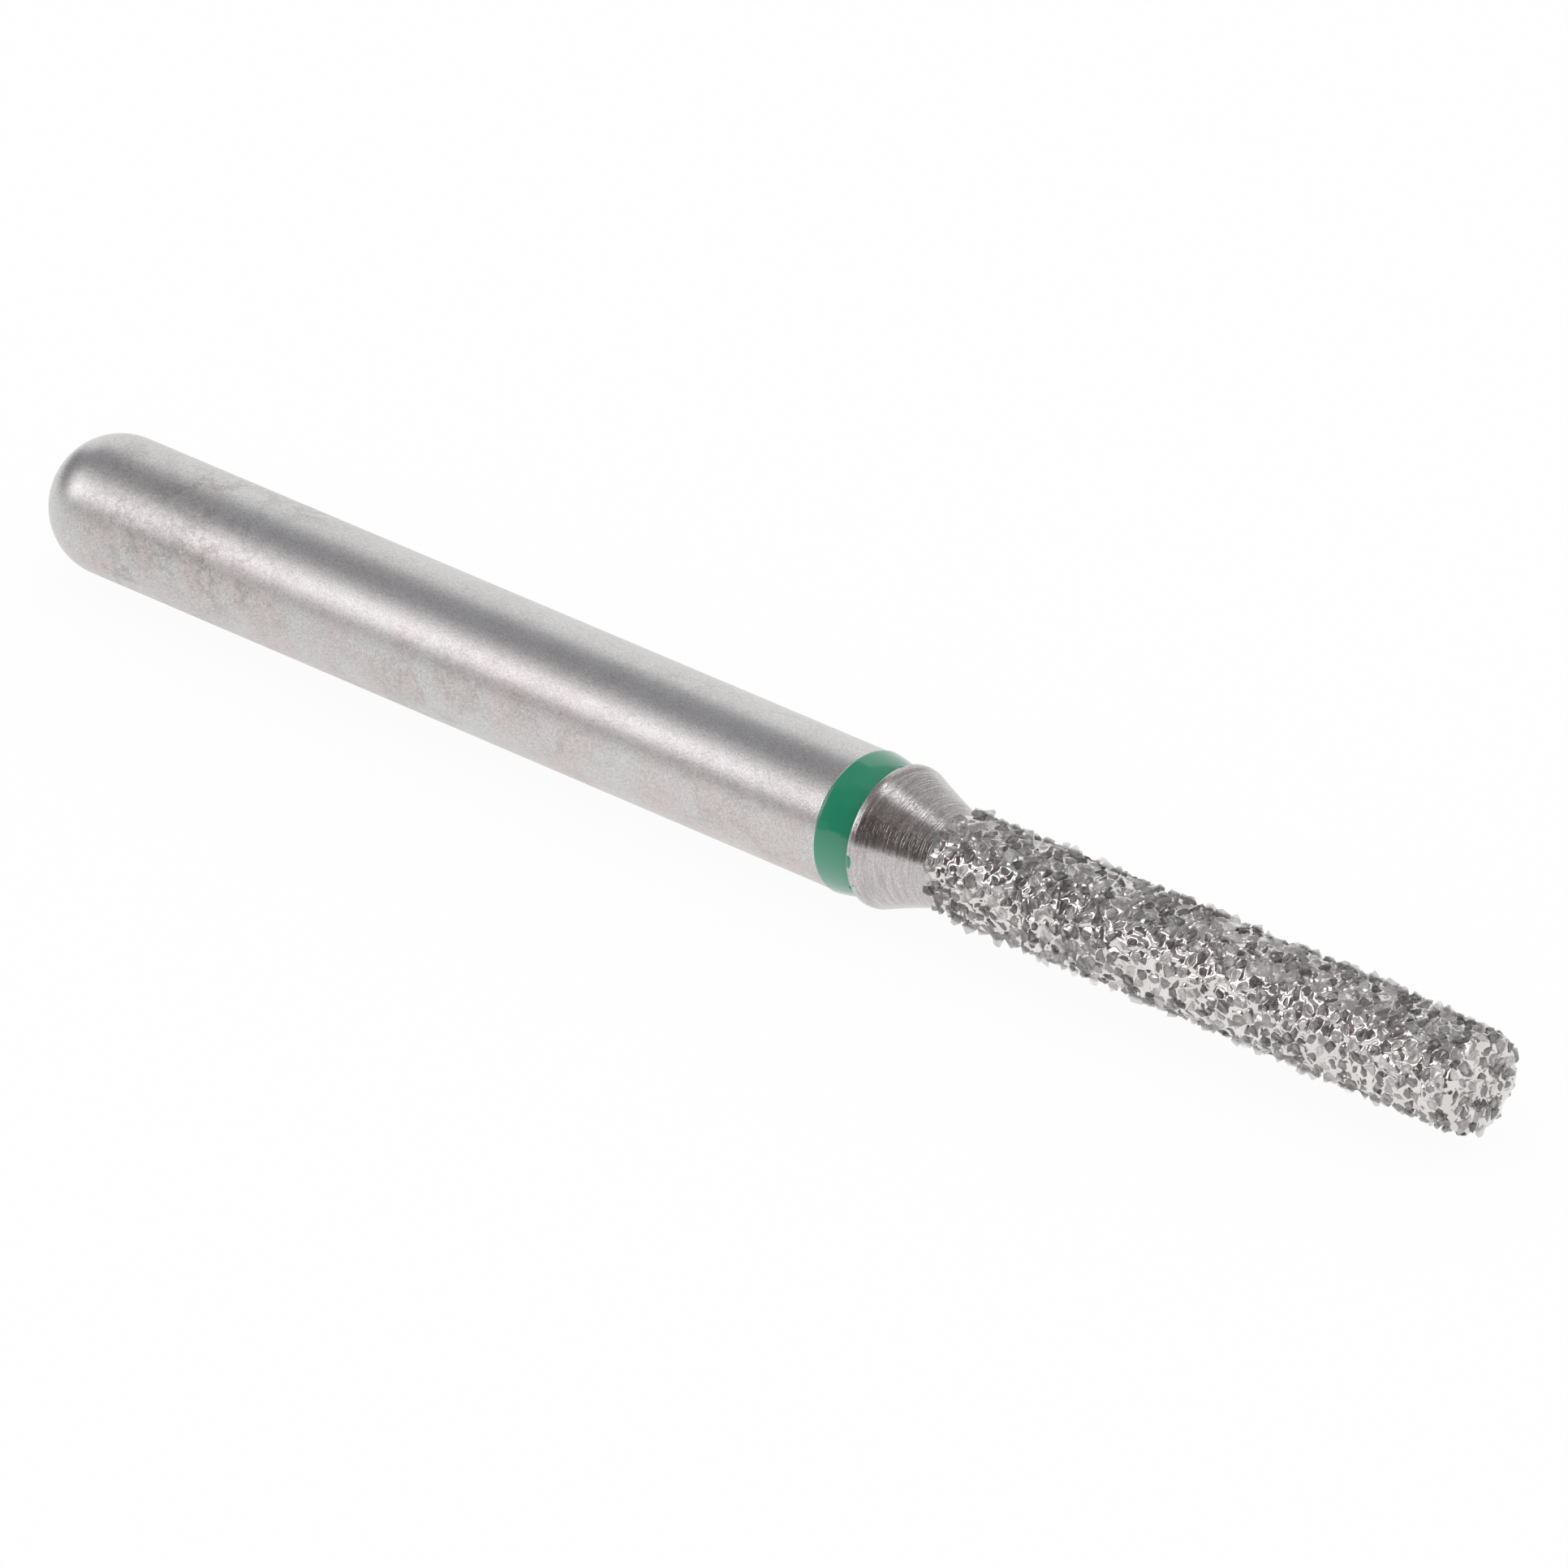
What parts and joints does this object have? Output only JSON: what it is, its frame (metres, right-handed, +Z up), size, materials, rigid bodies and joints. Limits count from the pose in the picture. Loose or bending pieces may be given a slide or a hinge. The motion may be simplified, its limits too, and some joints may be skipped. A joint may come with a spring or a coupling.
{
  "type": "dental bur",
  "caption": "Friction-grip diamond bur: plain round-ended shank, green enamel ring, cone neck and a long straight flat-end head with coarse grit.",
  "frame": {"origin": "on the axis, in the middle of the straight wall of the shank, where a chuck grips it", "axes": "+X along the bur's axis towards the working tip, +Z up"},
  "size_m": [0.0208, 0.0016, 0.0016],
  "materials": {
    "steel": "satin ground stainless steel",
    "green_enamel": "glossy fired enamel",
    "nickel": "bright uneven electroplated nickel",
    "diamond": "grey translucent crystals"
  },
  "bodies": {
    "root": {"steel_blank": "steel", "colour_ring": "green_enamel", "nickel_bond": "nickel", "diamond_grit": "diamond"}
  },
  "joints": []
}
